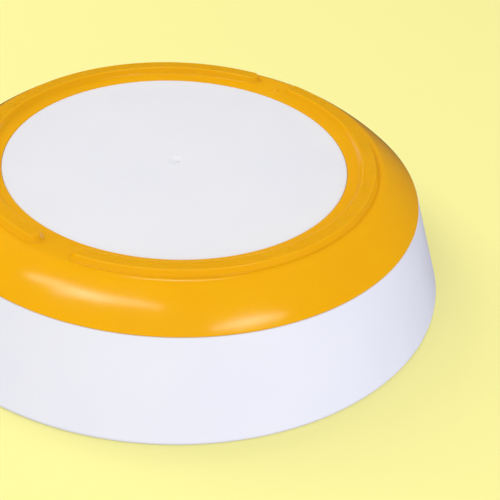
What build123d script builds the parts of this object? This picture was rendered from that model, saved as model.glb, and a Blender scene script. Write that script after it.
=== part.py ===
from build123d import *
import math
import os

# A shallow baby bowl in two pieces: a white one-piece bowl body, and a soft anti-slip ring
# that pushes up over the corner of its base.  The bowl stands upright: +Z points out of its
# mouth, and the origin is the centre of the circle on which the ring's two pads meet the table.
# The ring's two gaps lie on the Y axis.  All lengths are in millimetres, angles in degrees.

# Whole bowl
rim_radius = 75.0
bowl_height = 37.2
wall_draft = 17.5
wall = 2.4

# Bowl body
disc_radius = 46.6
disc_height = 2.3
floor_height = 5.2
inner_corner_radius = 22.0
edge_round = 0.3
match_tolerance = 0.01
gate_dish_radius = 2.2
gate_dish_depth = 0.35
gate_nib_radius = 0.6

# Seat of the ring on the bowl body
seam_height = 10.4
seat_height = 3.6
rib_radius = 51.0
rib_width = 1.6
rib_tip_height = 2.6
seat_clearance = 0.05

# Soft ring
crown_height = 1.6
crown_round = 4.0
shoulder_low_slope = 33.8
shoulder_high_slope = 45.2
seam_round = 1.2
pad_inner_radius = 50.6
pad_outer_radius = 54.2
pad_slope = 36.0
pad_gap = 11.2
pad_end_round = 1.7
pad_edge_round = 0.4
ring_edge_round = 0.2
ring_gate_radius = 1.1
ring_gate_height = 0.4
ring_gate_place = (-1.9, 50.5)

# Worked-out sizes shared by both pieces.  Every section is drawn as (radius, height).
draft = math.radians(wall_draft)
bead_radius = wall / 2
bead_centre = (rim_radius - bead_radius, bowl_height - bead_radius)


def wall_radius(height, depth=0.0):
    """Radius of the sloping wall at a height, on the surface this deep below its outside."""
    offset = (bead_radius - depth) / math.cos(draft)
    return bead_centre[0] + offset - (bead_centre[1] - height) * math.tan(draft)


# The inside corner is an arc that runs from the flat floor into the wall.
corner_tangent = inner_corner_radius * math.tan(math.radians(45) - draft / 2)
corner_centre = (
    wall_radius(floor_height, wall) - corner_tangent,
    floor_height + inner_corner_radius,
)
under_radius = inner_corner_radius + wall

# The ring's shoulder is three arcs that run into each other: one at its lowest circle, the
# crown, a large one between the two slopes, and a small one into the wall at the seam.
seam_radius = wall_radius(seam_height)
low_slope = math.radians(shoulder_low_slope)
high_slope = math.radians(shoulder_high_slope)
rounds_rise = crown_round * (1 - math.cos(low_slope)) + seam_round * (
    math.cos(high_slope) - math.sin(draft)
)
shoulder_radius = (seam_height - crown_height - rounds_rise) / (
    math.cos(low_slope) - math.cos(high_slope)
)


def toward_slope(start, slope, distance):
    """Point this far from start, at right angles to a slope and out of the ring."""
    return (start[0] + distance * math.sin(slope), start[1] - distance * math.cos(slope))


seam_round_centre = (
    seam_radius - seam_round * math.cos(draft),
    seam_height + seam_round * math.sin(draft),
)
shoulder_centre = toward_slope(seam_round_centre, high_slope, seam_round - shoulder_radius)
crown_centre = toward_slope(shoulder_centre, low_slope, shoulder_radius - crown_round)


def corner_reach(height, arc_radius):
    """Radius of the outer side of an arc about the corner centre, at a height."""
    run = math.sqrt(arc_radius**2 - (corner_centre[1] - height) ** 2)
    return corner_centre[0] + run


def arc_middle(start, end, centre):
    """Point halfway along the shorter arc from start to end about a centre."""
    radius = math.dist(start, centre)
    middle_x = (start[0] + end[0]) / 2 - centre[0]
    middle_y = (start[1] + end[1]) / 2 - centre[1]
    length = math.hypot(middle_x, middle_y)
    return (
        centre[0] + middle_x * radius / length,
        centre[1] + middle_y * radius / length,
    )


def centred_arc(start, end, centre):
    """Shorter arc from start to end about a centre, added to the open BuildLine."""
    ThreePointArc(start, arc_middle(start, end, centre), end)


def draw_seat(clearance):
    """Draw the underside of the body from the disc's edge to the seam, set off by a clearance.

    It is a step, a flat land with a locating rib standing down from it, the rounded corner,
    and the ledge at the seam.  Returns the two ends of the line.
    """
    arc_radius = under_radius + clearance
    land_height = seat_height - clearance
    ledge_height = seam_height - clearance
    rib_half = rib_width / 2 + clearance
    rib_inside = rib_radius - rib_half
    rib_outside = rib_radius + rib_half
    rib_centre_height = rib_tip_height + rib_width / 2

    disc_edge = (disc_radius + clearance, disc_height)
    step_top = (disc_radius + clearance, land_height)
    land_end = (corner_reach(land_height, arc_radius), land_height)
    ledge_start = (corner_reach(ledge_height, arc_radius), ledge_height)
    seam = (wall_radius(ledge_height), ledge_height)

    Polyline(disc_edge, step_top, (rib_inside, land_height), (rib_inside, rib_centre_height))
    ThreePointArc(
        (rib_inside, rib_centre_height),
        (rib_radius, rib_centre_height - rib_half),
        (rib_outside, rib_centre_height),
    )
    Polyline((rib_outside, rib_centre_height), (rib_outside, land_height), land_end)
    centred_arc(land_end, ledge_start, corner_centre)
    Line(ledge_start, seam)
    return disc_edge, seam


def circles_at(part, radius, height):
    """Level circular edges with this radius and height, to a small tolerance."""
    return [
        edge
        for edge in part.edges().filter_by(GeomType.CIRCLE)
        if math.isclose(edge.radius, radius, abs_tol=match_tolerance)
        and math.isclose(edge.center().Z, height, abs_tol=match_tolerance)
    ]


# Bowl body: one revolved shell with a flat floor, rounded corner, sloping wall and round rim.
# The shallow dish in the middle of the underside, with a nib in it, is where it was filled.
with BuildPart() as bowl_body:
    with BuildSketch(Plane.XZ):
        with BuildLine():
            disc_edge, seam = draw_seat(0)
            dish_sphere = (gate_dish_radius**2 + gate_dish_depth**2) / (2 * gate_dish_depth)
            dish_centre = (0, disc_height + gate_dish_depth - dish_sphere)
            nib_top = dish_centre[1] + math.sqrt(dish_sphere**2 - gate_nib_radius**2)
            Polyline(
                (0, floor_height),
                (0, disc_height),
                (gate_nib_radius, disc_height),
                (gate_nib_radius, nib_top),
            )
            centred_arc((gate_nib_radius, nib_top), (gate_dish_radius, disc_height), dish_centre)
            Line((gate_dish_radius, disc_height), disc_edge)
            rim_outside = (
                bead_centre[0] + bead_radius * math.cos(draft),
                bead_centre[1] - bead_radius * math.sin(draft),
            )
            rim_inside = (
                bead_centre[0] - bead_radius * math.cos(draft),
                bead_centre[1] + bead_radius * math.sin(draft),
            )
            rim_top = (bead_centre[0], bowl_height)
            corner_top = (
                corner_centre[0] + inner_corner_radius * math.cos(draft),
                corner_centre[1] - inner_corner_radius * math.sin(draft),
            )
            floor_end = (corner_centre[0], floor_height)
            Line(seam, rim_outside)
            ThreePointArc(rim_outside, rim_top, rim_inside)
            Line(rim_inside, corner_top)
            centred_arc(corner_top, floor_end, corner_centre)
            Line(floor_end, (0, floor_height))
        make_face()
    revolve(axis=Axis.Z)
    fillet(circles_at(bowl_body, disc_radius, disc_height), edge_round)
    fillet(circles_at(bowl_body, seam_radius, seam_height), edge_round)
bowl_body.part.label = "bowl_body"

# The two pads that stand on the table: a flat ring cut apart by two gaps, with rounded corners
# in plan, that spreads as it goes up into the soft ring.
with BuildPart() as pads:
    with BuildSketch():
        Circle(pad_outer_radius)
        Circle(pad_inner_radius, mode=Mode.SUBTRACT)
        Rectangle(pad_gap, 3 * pad_outer_radius, mode=Mode.SUBTRACT)
        fillet(vertices(), pad_end_round)
    extrude(amount=disc_height, taper=-pad_slope)
    fillet(pads.edges().group_by(Axis.Z)[0], pad_edge_round)

# Soft ring: a revolved band that fills the corner of the base, with the pads under it and the
# small round mark of its moulding gate in the rear gap.
with BuildPart() as base_ring:
    with BuildSketch(Plane.XZ):
        with BuildLine():
            inner_edge, outer_edge = draw_seat(seat_clearance)
            crown = (crown_centre[0], crown_height)
            shoulder_low = toward_slope(crown_centre, low_slope, crown_round)
            shoulder_high = toward_slope(seam_round_centre, high_slope, seam_round)
            TangentArc(crown, inner_edge, tangent=(-1, 0))
            centred_arc(crown, shoulder_low, crown_centre)
            centred_arc(shoulder_low, shoulder_high, shoulder_centre)
            centred_arc(shoulder_high, outer_edge, seam_round_centre)
        make_face()
    revolve(axis=Axis.Z)
    fillet(circles_at(base_ring, *outer_edge), ring_edge_round)
    fillet(circles_at(base_ring, *inner_edge), ring_edge_round)
    add(pads.part)
    gate_tip_height = crown_height - ring_gate_height
    with BuildSketch(Plane.XY.offset(gate_tip_height)):
        with Locations(ring_gate_place):
            Circle(ring_gate_radius)
    extrude(amount=disc_height - gate_tip_height)
    fillet(circles_at(base_ring, ring_gate_radius, gate_tip_height), ring_edge_round)
base_ring.part.label = "base_ring"

os.makedirs("parts", exist_ok=True)
export_step(bowl_body.part, "parts/bowl_body.step")
export_step(base_ring.part, "parts/base_ring.step")
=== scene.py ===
import math

import bpy
import numpy as np
from mathutils import Matrix, Quaternion, Vector


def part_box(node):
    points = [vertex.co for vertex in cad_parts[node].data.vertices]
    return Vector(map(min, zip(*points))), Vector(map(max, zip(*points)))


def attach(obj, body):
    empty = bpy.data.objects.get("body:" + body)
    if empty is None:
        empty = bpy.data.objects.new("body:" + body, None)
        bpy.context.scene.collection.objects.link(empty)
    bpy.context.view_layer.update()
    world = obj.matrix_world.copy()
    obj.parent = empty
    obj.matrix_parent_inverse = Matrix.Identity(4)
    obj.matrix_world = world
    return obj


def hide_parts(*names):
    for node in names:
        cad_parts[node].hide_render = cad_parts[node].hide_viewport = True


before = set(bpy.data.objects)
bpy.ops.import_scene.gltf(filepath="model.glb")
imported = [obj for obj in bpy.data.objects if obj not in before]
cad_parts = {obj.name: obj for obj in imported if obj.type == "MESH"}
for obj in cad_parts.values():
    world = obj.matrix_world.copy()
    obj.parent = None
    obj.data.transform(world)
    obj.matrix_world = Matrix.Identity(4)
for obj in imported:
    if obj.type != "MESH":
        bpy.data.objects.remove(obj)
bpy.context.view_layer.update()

# A shallow white baby bowl with a soft orange anti-slip ring on the corner of its base.
# The white body is the CAD node with a moulded plastic finish.  The soft ring is modelled again
# here, because its pads have soft ends, a groove along their feet, and sides steeper than the
# CAD solid's.  Lengths are in millimetres in the drawing functions and in metres on each object.

MM = 0.001
scene = bpy.context.scene
scene.view_settings.view_transform = "Standard"

body_low, body_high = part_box("bowl_body")
rim_radius = body_high.x / MM
rim_height = body_high.z / MM
disc_height = body_low.z / MM
ring_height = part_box("base_ring")[1].z / MM

# ---------------------------------------------------------------- soft ring, in millimetres
# Bowl body, where the ring follows it
wall = 2.4
wall_draft = math.radians(17.5)
inner_corner_radius = 22.0
floor_height = 5.2

# Section of the ring
clearance = 0.05
disc_edge_radius = 46.65
crown_height = 1.6
crown_round = 4.0
low_slope = math.radians(33.8)
high_slope = math.radians(45.2)
seam_round = 1.2
lip_round = 0.2
edge_round = 0.2

# Side that sits on the bowl, with the groove for the bowl's rib
land_height = 3.55
rib_radius = 51.0
rib_groove_half_width = 0.85
rib_groove_centre_height = 3.4
hidden_corner_cut = 0.12
hidden_edge_margin = 0.6

# Pads, and the soft groove along their feet
pad_inner_radius = 50.6
pad_outer_radius = 54.2
pad_end = 5.6
pad_end_round = 1.7
pad_crest_round = 0.4
pad_foot_reach = 0.55
pad_slope = math.radians(29)
foot_groove_depth = 0.42
foot_groove_inner_share = 0.6
foot_groove_reach = 0.75
foot_groove_shift = 0.3

# Round mark of the moulding gate
gate_radius = 1.1
gate_height = 0.4
gate_edge = 0.4
gate_place = (-1.9, 50.5)

# Spacing of the mesh, and how many points its arcs have
band_step = 0.12
band_end_radius = 58.0
column_step_fine = math.radians(0.13)
column_step_coarse = math.radians(1.0)
pad_end_zone = math.radians(10)
lip_points = 6
shoulder_points = 30
turn_points = 12
edge_points = 8
corner_points = 17
rib_groove_points = 11
crease_angle = math.radians(35)
bevelled_below = math.radians(150)
smallest_angle = 1e-6


def wall_radius(height, depth=0.0):
    """Radius of the bowl's sloping wall at a height, this deep below its outside."""
    bead = wall / 2
    offset = (bead - depth) / math.cos(wall_draft)
    return rim_radius - bead + offset - (rim_height - bead - height) * math.tan(wall_draft)


def toward_slope(start, slope, distance):
    """Point this far from start, at right angles to a slope and out of the ring."""
    return (start[0] + distance * math.sin(slope), start[1] - distance * math.cos(slope))


# The shoulder is three arcs that run into each other: at the crown, between the two slopes,
# and into the wall at the seam.
seam_height = ring_height + clearance
seam_radius = wall_radius(seam_height)
rounds_rise = crown_round * (1 - math.cos(low_slope)) + seam_round * (
    math.cos(high_slope) - math.sin(wall_draft)
)
shoulder_radius = (seam_height - crown_height - rounds_rise) / (
    math.cos(low_slope) - math.cos(high_slope)
)
seam_centre = (
    seam_radius - seam_round * math.cos(wall_draft),
    seam_height + seam_round * math.sin(wall_draft),
)
shoulder_centre = toward_slope(seam_centre, high_slope, seam_round - shoulder_radius)
crown_centre = toward_slope(shoulder_centre, low_slope, shoulder_radius - crown_round)
crown_radius = crown_centre[0]
corner_tangent = inner_corner_radius * math.tan(math.radians(45) - wall_draft / 2)
corner_centre = (
    wall_radius(floor_height, wall) - corner_tangent,
    floor_height + inner_corner_radius,
)
corner_radius = inner_corner_radius + wall + clearance
band_run = crown_radius - disc_edge_radius
band_rise = disc_height - crown_height
band_radius = (band_run**2 + band_rise**2) / (2 * band_rise)
band_centre = (crown_radius, crown_height + band_radius)
shoulder_low = toward_slope(crown_centre, low_slope, crown_round)


def below(centre, radius, at):
    """Height of the lower side of a circle at the radius 'at' of the bowl."""
    return centre[1] - np.sqrt(radius**2 - (np.asarray(at) - centre[0]) ** 2)


def beside(centre, radius, height):
    """Radius of the outer side of a circle at a height."""
    return centre[0] + math.sqrt(radius**2 - (height - centre[1]) ** 2)


def arc(centre, radius, start, end, count):
    """Points along an arc, its two end angles given in radians from the outward direction."""
    angles = np.linspace(start, end, count)
    across = centre[0] + radius * np.cos(angles)
    up = centre[1] + radius * np.sin(angles)
    return np.column_stack((across, up))


def angle_of(centre, point):
    """Angle of a point about a centre, from the outward direction."""
    return math.atan2(point[1] - centre[1], point[0] - centre[0])


def ring_underside():
    """Section of the ring's visible side, from its inside edge to the seam with the wall."""
    lip_across = disc_edge_radius + lip_round
    lip_centre = (lip_across, float(below(band_centre, band_radius - lip_round, lip_across)))
    lip_end = angle_of(band_centre, lip_centre)
    lip = arc(lip_centre, lip_round, -math.pi, lip_end, lip_points)

    across = np.arange(lip[-1][0] + band_step, band_end_radius, band_step)
    heights = np.where(
        across < crown_radius,
        below(band_centre, band_radius, np.minimum(across, crown_radius)),
        below(crown_centre, crown_round, np.clip(across, crown_radius, shoulder_low[0])),
    )
    beyond = across > shoulder_low[0]
    heights[beyond] = below(shoulder_centre, shoulder_radius, across[beyond])
    band = np.column_stack((across, heights))

    shoulder_start = angle_of(shoulder_centre, band[-1])
    shoulder_end = high_slope - math.pi / 2
    shoulder = arc(
        shoulder_centre, shoulder_radius, shoulder_start, shoulder_end, shoulder_points
    )
    edge_up = ring_height - edge_round
    edge_centre = (beside(seam_centre, seam_round - edge_round, edge_up), edge_up)
    edge_start = angle_of(seam_centre, edge_centre)
    turn = arc(seam_centre, seam_round, shoulder_end, edge_start, turn_points)
    edge = arc(edge_centre, edge_round, edge_start, math.pi / 2, edge_points)
    return np.vstack((lip, band, shoulder[1:-1], turn, edge[1:]))


def cut_corners(points):
    """Bevel the sharp corners of a line that has straight runs and coarse arcs."""
    kept = [points[0]]
    for before, corner, after in zip(points, points[1:], points[2:]):
        back = (before - corner) / np.linalg.norm(before - corner)
        ahead = (after - corner) / np.linalg.norm(after - corner)
        if np.dot(back, ahead) > math.cos(bevelled_below):
            kept += [corner + hidden_corner_cut * back, corner + hidden_corner_cut * ahead]
        else:
            kept.append(corner)
    kept.append(points[-1])
    return np.array(kept)


def ring_upper_side():
    """Section of the side that sits on the bowl, from the seam back to the inside edge."""
    groove_centre = (rib_radius, rib_groove_centre_height)
    ledge_in = (beside(corner_centre, corner_radius, ring_height), ring_height)
    land_out = (beside(corner_centre, corner_radius, land_height), land_height)
    ends = [angle_of(corner_centre, point) for point in (ledge_in, land_out)]
    return np.vstack((
        [(seam_radius - hidden_edge_margin, ring_height)],
        arc(corner_centre, corner_radius, ends[0], ends[1], corner_points),
        [(rib_radius + rib_groove_half_width, land_height)],
        arc(groove_centre, rib_groove_half_width, 0, -math.pi, rib_groove_points),
        [(rib_radius - rib_groove_half_width, land_height)],
        [(disc_edge_radius, land_height)],
        [(disc_edge_radius, disc_height + hidden_edge_margin)],
    ))


def pad_distance(x, y):
    """Distance outward from the edge of the nearer pad's flat crest, in plan."""
    middle = (pad_inner_radius + pad_outer_radius) / 2
    half_width = (pad_outer_radius - pad_inner_radius) / 2
    sideways = np.abs(np.hypot(x, y) - middle) - half_width + pad_end_round
    endways = pad_end - np.abs(x) + pad_end_round
    outside = np.hypot(np.maximum(sideways, 0), np.maximum(endways, 0))
    return outside + np.minimum(np.maximum(sideways, endways), 0) - pad_end_round


def pad_height(x, y):
    """Height of the pads over the plan: flat crest, rounded edge, then a straight slope."""
    distance = pad_distance(x, y)
    steep = math.pi / 2 - pad_slope
    tangent = pad_crest_round * math.tan(steep / 2)
    along = np.clip(distance + tangent, 0, pad_crest_round * math.sin(steep))
    rounded = pad_crest_round - np.sqrt(pad_crest_round**2 - along**2)
    straight = np.maximum(distance + tangent - along, 0) * math.tan(steep)
    return rounded + straight


def blended_lower(first, second, reach):
    """The lower of two heights, with the corner between them filled over a reach."""
    share = np.clip(0.5 + 0.5 * (second - first) / reach, 0, 1)
    return second * (1 - share) + first * share - reach * share * (1 - share)


def pad_groove(x, y):
    """Depth of the soft groove along the foot of the pads, shallower on their inside."""
    middle = crown_height * math.tan(pad_slope) - foot_groove_shift
    across = np.clip((pad_distance(x, y) - middle) / foot_groove_reach, -1, 1)
    outward = (np.hypot(x, y) - pad_inner_radius) / (pad_outer_radius - pad_inner_radius)
    depth = foot_groove_depth * np.clip(outward, foot_groove_inner_share, 1)
    return depth * (1 - across**2) ** 2


def gate_mark(x, y):
    """How far the round mark of the moulding gate, in the rear gap, stands down."""
    inside = (gate_radius - np.hypot(x - gate_place[0], y - gate_place[1])) / gate_edge
    share = np.clip(inside, 0, 1)
    return gate_height * share * share * (3 - 2 * share)


def ring_azimuths():
    """Azimuths of the ring's columns, close together near the ends of the pads."""
    fine = np.arange(0, pad_end_zone, column_step_fine)
    coarse_count = round((math.pi / 2 - pad_end_zone) / column_step_coarse)
    coarse = np.linspace(pad_end_zone, math.pi / 2, coarse_count, endpoint=False)
    quarter = np.concatenate((fine, coarse))
    half = np.concatenate((quarter, math.pi - quarter[::-1]))
    half = np.unique(np.append(half, math.pi / 2).round(9))
    half = half[half < math.pi - smallest_angle]
    return math.pi / 2 + np.concatenate((half, half + math.pi))


def make_piece(name, points, faces):
    """Smooth-shaded mesh object from points in millimetres, with its creases kept sharp."""
    mesh = bpy.data.meshes.new(name)
    mesh.from_pydata((points * MM).tolist(), [], faces.tolist())
    mesh.shade_smooth()
    mesh.set_sharp_from_angle(angle=crease_angle)
    mesh.update()
    piece = bpy.data.objects.new(name, mesh)
    scene.collection.objects.link(piece)
    return piece


def make_soft_ring():
    """The whole ring as one closed mesh: its section carried round the axis, pads added."""
    underside = ring_underside()
    section = np.vstack((underside, cut_corners(ring_upper_side())))
    azimuths = ring_azimuths()
    across = np.tile(section[:, 0], (len(azimuths), 1))
    up = np.tile(section[:, 1], (len(azimuths), 1))
    x = across * np.cos(azimuths)[:, None]
    y = across * np.sin(azimuths)[:, None]
    low = np.s_[:, : len(underside)]
    near_pad = across[low] < band_end_radius
    padded = blended_lower(up[low], pad_height(x[low], y[low]), pad_foot_reach)
    padded += pad_groove(x[low], y[low]) - gate_mark(x[low], y[low])
    up[low] = np.where(near_pad, padded, up[low])

    columns, rows = across.shape
    here = np.arange(columns * rows).reshape(columns, rows)
    beside_it = np.roll(here, -1, axis=0)
    corners = (here, beside_it, np.roll(beside_it, -1, axis=1), np.roll(here, -1, axis=1))
    faces = np.stack(corners, axis=-1).reshape(-1, 4)
    points = np.stack((x, y, up), axis=-1).reshape(-1, 3)
    return make_piece("soft_ring", points, faces)


# ---------------------------------------------------------------- materials
def node(tree, kind, inputs=None, **settings):
    """Add a shader node; each input is a value or another node's output."""
    made = tree.nodes.new("ShaderNode" + kind)
    for name, value in settings.items():
        setattr(made, name, value)
    for name, value in (inputs or {}).items():
        if isinstance(value, bpy.types.NodeSocket):
            tree.links.new(value, made.inputs[name])
        else:
            made.inputs[name].default_value = value
    return made


def new_material(name):
    """Empty node material and its Principled shader, already joined to the output."""
    material = bpy.data.materials.new(name)
    material.use_nodes = True
    tree = material.node_tree
    tree.nodes.clear()
    shader = node(tree, "BsdfPrincipled")
    node(tree, "OutputMaterial", {"Surface": shader.outputs["BSDF"]})
    return material, tree, shader


def noise(tree, place, grain, detail=2.0, roughness=0.5):
    """Soft random pattern, its patches about this many metres across."""
    made = node(
        tree,
        "TexNoise",
        {"Vector": place, "Scale": 1 / grain, "Detail": detail, "Roughness": roughness},
    )
    return made.outputs["Fac"]


def ramp(tree, value, low, high, to_low=0.0, to_high=1.0):
    """Map a value smoothly from one range to another, held at the ends."""
    made = node(
        tree,
        "MapRange",
        {"Value": value, "From Min": low, "From Max": high, "To Min": to_low, "To Max": to_high},
        interpolation_type="SMOOTHSTEP",
    )
    return made.outputs["Result"]


def maths(tree, operation, first, second=0.0):
    """One arithmetic step."""
    made = node(tree, "Math", operation=operation)
    for socket, value in zip(made.inputs, (first, second)):
        if isinstance(value, bpy.types.NodeSocket):
            tree.links.new(value, socket)
        else:
            socket.default_value = value
    return made.outputs["Value"]


def mix(tree, share, first, second):
    """Mix two colours."""
    made = node(tree, "Mix", data_type="RGBA")
    for index, value in ((0, share), (6, first), (7, second)):
        if isinstance(value, bpy.types.NodeSocket):
            tree.links.new(value, made.inputs[index])
        else:
            made.inputs[index].default_value = value
    return made.outputs[2]


def soft_elastomer():
    """Orange thermoplastic elastomer: satin, faintly mottled, scuffed where the pads rub."""
    material, tree, shader = new_material("orange_elastomer")
    place = node(tree, "TexCoord").outputs["Object"]
    split = node(tree, "SeparateXYZ", {"Vector": place})
    height = split.outputs["Z"]

    base = (0.88, 0.43, 0.001, 1)
    deep = (0.84, 0.39, 0.001, 1)
    scuffed = (0.90, 0.52, 0.06, 1)
    cloud_size, cloud_share = 14 * MM, 0.45
    cloud = ramp(tree, noise(tree, place, cloud_size, 3.0), 0.3, 0.75)
    colour = mix(tree, maths(tree, "MULTIPLY", cloud, cloud_share), base, deep)

    scuff_size, scuff_height = 1.6 * MM, 0.35 * MM
    scuff_colour_share, scuff_roughness = 0.05, 0.04
    crest = ramp(tree, height, 0.0, scuff_height, 1.0, 0.0)
    rubbed = ramp(tree, noise(tree, place, scuff_size, 5.0, 0.65), 0.42, 0.62)
    scuff = maths(tree, "MULTIPLY", crest, rubbed)
    colour = mix(tree, maths(tree, "MULTIPLY", scuff, scuff_colour_share), colour, scuffed)

    gloss_size, smooth, rough = 5 * MM, 0.115, 0.14
    gloss = ramp(tree, noise(tree, place, gloss_size, 3.0), 0.3, 0.7, smooth, rough)
    gloss = maths(tree, "ADD", gloss, maths(tree, "MULTIPLY", scuff, scuff_roughness))

    grain_size, grain_depth = 0.30 * MM, 0.004 * MM
    grain = noise(tree, place, grain_size, 4.0, 0.6)
    bump = node(tree, "Bump", {"Height": grain, "Strength": 0.10, "Distance": grain_depth})
    tree.links.new(colour, shader.inputs["Base Color"])
    tree.links.new(gloss, shader.inputs["Roughness"])
    tree.links.new(bump.outputs["Normal"], shader.inputs["Normal"])
    shader.inputs["Specular IOR Level"].default_value = 0.45
    shader.inputs["Subsurface Weight"].default_value = 0.12
    shader.inputs["Subsurface Radius"].default_value = (1.0, 0.4, 0.05)
    shader.inputs["Subsurface Scale"].default_value = 1.2 * MM
    return material


def moulded_plastic():
    """White polypropylene: satin and slightly translucent, with fine scratches from use."""
    material, tree, shader = new_material("white_plastic")
    place = node(tree, "TexCoord").outputs["Object"]

    base = (0.835, 0.842, 0.868, 1)
    cool = (0.815, 0.825, 0.862, 1)
    cloud_size = 30 * MM
    cloud = ramp(tree, noise(tree, place, cloud_size, 2.0), 0.35, 0.7)
    colour = mix(tree, cloud, base, cool)

    scratch_size, scratch_turn, scratch_stretch = 0.8 * MM, math.radians(28), (0.06, 1.6, 1.0)
    scratch_depth, scratch_roughness = 0.8, 0.15
    stretched = node(
        tree,
        "Mapping",
        {"Vector": place, "Scale": scratch_stretch, "Rotation": (0, 0, scratch_turn)},
    )
    lines = noise(tree, stretched.outputs["Vector"], scratch_size, 3.0, 0.7)
    scratch = ramp(tree, lines, 0.64, 0.72)

    gloss_size, smooth, rough = 9 * MM, 0.30, 0.38
    gloss = ramp(tree, noise(tree, place, gloss_size, 4.0), 0.3, 0.7, smooth, rough)
    gloss = maths(tree, "ADD", gloss, maths(tree, "MULTIPLY", scratch, scratch_roughness))

    grain_size, grain_depth = 0.45 * MM, 0.012 * MM
    grain = noise(tree, place, grain_size, 3.0)
    relief = maths(tree, "SUBTRACT", grain, maths(tree, "MULTIPLY", scratch, scratch_depth))
    bump = node(tree, "Bump", {"Height": relief, "Strength": 0.18, "Distance": grain_depth})

    tree.links.new(colour, shader.inputs["Base Color"])
    tree.links.new(gloss, shader.inputs["Roughness"])
    tree.links.new(bump.outputs["Normal"], shader.inputs["Normal"])
    shader.inputs["Specular IOR Level"].default_value = 0.5
    shader.inputs["Subsurface Weight"].default_value = 0.25
    shader.inputs["Subsurface Radius"].default_value = (1.0, 0.95, 0.9)
    shader.inputs["Subsurface Scale"].default_value = 1.5 * MM
    return material


# ---------------------------------------------------------------- floor, backdrop and light
floor_colour = (0.94, 0.895, 0.345)
backdrop_colour = (0.99, 0.945, 0.372)
floor_radius = 3.0
floor_corners = 96
floor_gone_below = 0.05
floor_full_above = 0.22
ambient_colour = (1.0, 0.99, 1.06)
ambient_strength = 0.72
ambient_gloss_share = 0.1


def floor_card(above):
    """Pale matt surface, seen from above or from below alone.

    It fades into the backdrop where it is seen at a grazing angle.
    """
    material = bpy.data.materials.new("floor_above" if above else "floor_below")
    material.use_nodes = True
    tree = material.node_tree
    tree.nodes.clear()
    toward = node(tree, "SeparateXYZ", {"Vector": node(tree, "NewGeometry").outputs["Incoming"]})
    rise = maths(tree, "MULTIPLY", toward.outputs["Z"], 1.0 if above else -1.0)
    seen = ramp(tree, rise, floor_gone_below, floor_full_above)
    card = node(tree, "BsdfDiffuse", {"Color": (*floor_colour, 1)})
    clear = node(tree, "BsdfTransparent")
    both = node(tree, "MixShader", {"Fac": seen})
    tree.links.new(clear.outputs["BSDF"], both.inputs[1])
    tree.links.new(card.outputs["BSDF"], both.inputs[2])
    node(tree, "OutputMaterial", {"Surface": both.outputs["Shader"]})
    return material


def make_floor(name, height, above, body):
    """Large flat disc at a height, that only the camera sees."""
    turn = np.linspace(0, 2 * math.pi, floor_corners, endpoint=False)
    rim = [(floor_radius * math.cos(a), floor_radius * math.sin(a), height) for a in turn]
    mesh = bpy.data.meshes.new(name)
    mesh.from_pydata(rim, [], [list(range(floor_corners))])
    mesh.materials.append(floor_card(above))
    card = bpy.data.objects.new(name, mesh)
    scene.collection.objects.link(card)
    for ray in ("diffuse", "glossy", "transmission", "volume_scatter", "shadow"):
        setattr(card, "visible_" + ray, False)
    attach(card, body)


def make_backdrop():
    """Even light from all round, dimmer in reflections, and the colour that the camera sees."""
    world = bpy.data.worlds.new("studio")
    scene.world = world
    world.use_nodes = True
    tree = world.node_tree
    tree.nodes.clear()
    path = node(tree, "LightPath").outputs
    shares = ramp(tree, path["Is Glossy Ray"], 0.0, 1.0, 1.0, ambient_gloss_share)
    strength = maths(tree, "MULTIPLY", shares, ambient_strength)
    lit = node(tree, "Background", {"Color": (*ambient_colour, 1), "Strength": strength})
    seen = node(tree, "Background", {"Color": (*backdrop_colour, 1), "Strength": 1.0})
    both = node(tree, "MixShader", {"Fac": path["Is Camera Ray"]})
    tree.links.new(lit.outputs["Background"], both.inputs[1])
    tree.links.new(seen.outputs["Background"], both.inputs[2])
    node(tree, "OutputWorld", {"Surface": both.outputs["Shader"]})


def direction(azimuth, elevation):
    """Unit vector from the bowl toward the viewer, as the frame's own views count angles."""
    a, e = math.radians(azimuth), math.radians(elevation)
    return Vector((math.sin(a) * math.cos(e), -math.cos(a) * math.cos(e), math.sin(e)))


camera_azimuth = -32.845
camera_elevation = -30.595
camera_distance = 357.13
camera_aim = Vector((-40.03, -27.80, 0)) * MM
camera_roll = math.radians(183.85)
camera_sensor = 36
camera_lens = 94.75
camera_clip = 0.01


def make_camera():
    """Camera that looks up at the base of the bowl, rolled over so that the base is on top."""
    data = bpy.data.cameras.new("camera")
    camera = bpy.data.objects.new("camera", data)
    scene.collection.objects.link(camera)
    data.sensor_width = camera_sensor
    data.lens = camera_lens
    data.clip_start = camera_clip
    camera.location = direction(camera_azimuth, camera_elevation) * camera_distance * MM
    look = (camera_aim - camera.location).to_track_quat("-Z", "Y")
    camera.rotation_mode = "QUATERNION"
    camera.rotation_quaternion = look @ Quaternion((0, 0, 1), camera_roll)
    scene.camera = camera
    return camera


def make_light_rig(camera):
    """Point at the middle of the bowl that turns with the camera and carries the lights."""
    rig = bpy.data.objects.new("light_rig", None)
    scene.collection.objects.link(rig)
    rig.location = (0, 0, rim_height * MM / 2)
    turn = rig.constraints.new("COPY_ROTATION")
    turn.target = camera
    return rig


light_distance = 0.9
warm = (1, 0.99, 0.80)
neutral = (1, 1, 0.95)
cool = (0.97, 1, 1.40)

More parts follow.
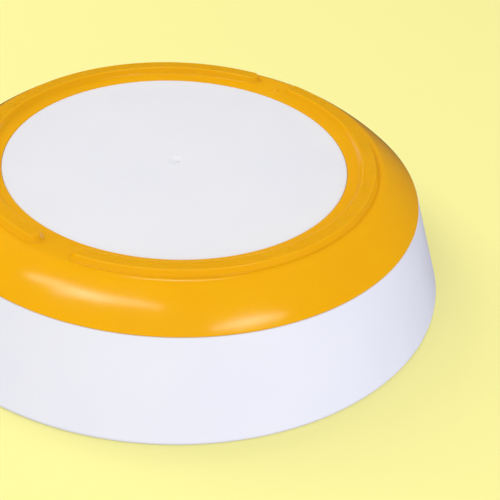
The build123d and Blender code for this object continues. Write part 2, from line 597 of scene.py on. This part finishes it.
# Name, direction from the bowl, direction of the long axis, length and width, watts, colour.
# Directions are in the camera's own frame: right, up, and back toward the camera.
diffusers = (
    ("key", (-0.6, 0.8, 0.1), (0.5, 0.3, 0.6), (0.6, 0.5), 1.6, warm),
    ("front", (0, 0.15, 1), (1, 0, 0), (0.6, 0.5), 0.8, warm),
    ("side", (0.85, -0.35, 0.4), (0.4, 0, -0.85), (0.6, 0.5), 1.3, cool),
    ("low", (-0.4, -0.5, 0.75), (0.9, 0, 0.45), (0.6, 0.5), 1.0, neutral),
)
mirrored_lights = (
    ("left_streak", (-0.48, 0.524, 0.704), (0.773, -0.111, 0.651), (0.50, 0.055), 0.34, neutral),
    ("mid_streak", (-0.289, 0.493, 0.821), (0.935, -0.048, 0.356), (0.60, 0.055), 0.39, neutral),
    ("right_streak", (0.475, 0.312, 0.82), (0.395, 0.055, -0.26), (0.42, 0.06), 0.30, neutral),
    ("right_core", (0.475, 0.312, 0.82), (0.395, 0.055, -0.26), (0.20, 0.06), 0.20, neutral),
    ("top", (0.04, 0.98, 0.18), (1, 0, 0), (0.22, 0.10), 0.30, neutral),
)


def make_light(rig, mirrored, name, toward, along, size, power, colour):
    """Soft oval light on the rig.

    One that isn't mirrored stands for a large diffuser, with no reflection of its own.
    """
    data = bpy.data.lights.new(name, "AREA")
    data.shape = "ELLIPSE"
    data.size, data.size_y = size
    data.energy = power
    data.color = colour
    box = bpy.data.objects.new(name, data)
    scene.collection.objects.link(box)
    box.visible_glossy = mirrored
    box.parent = rig
    back = Vector(toward).normalized()
    side = (Vector(along) - back * Vector(along).dot(back)).normalized()
    turn = Matrix((side, back.cross(side), back)).transposed()
    box.matrix_local = Matrix.Translation(back * light_distance) @ turn.to_4x4()


# ---------------------------------------------------------------- the scene
soft_ring = make_soft_ring()
soft_ring.data.materials.append(soft_elastomer())
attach(soft_ring, "soft_ring")
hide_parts("base_ring")

bowl_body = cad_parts["bowl_body"]
bowl_body.material_slots[0].material = moulded_plastic()

make_floor("floor_under_pads", 0.0, True, "soft_ring")
make_floor("floor_over_rim", rim_height * MM, False, "bowl")
make_backdrop()
rig = make_light_rig(make_camera())
for light in diffusers:
    make_light(rig, False, *light)
for light in mirrored_lights:
    make_light(rig, True, *light)
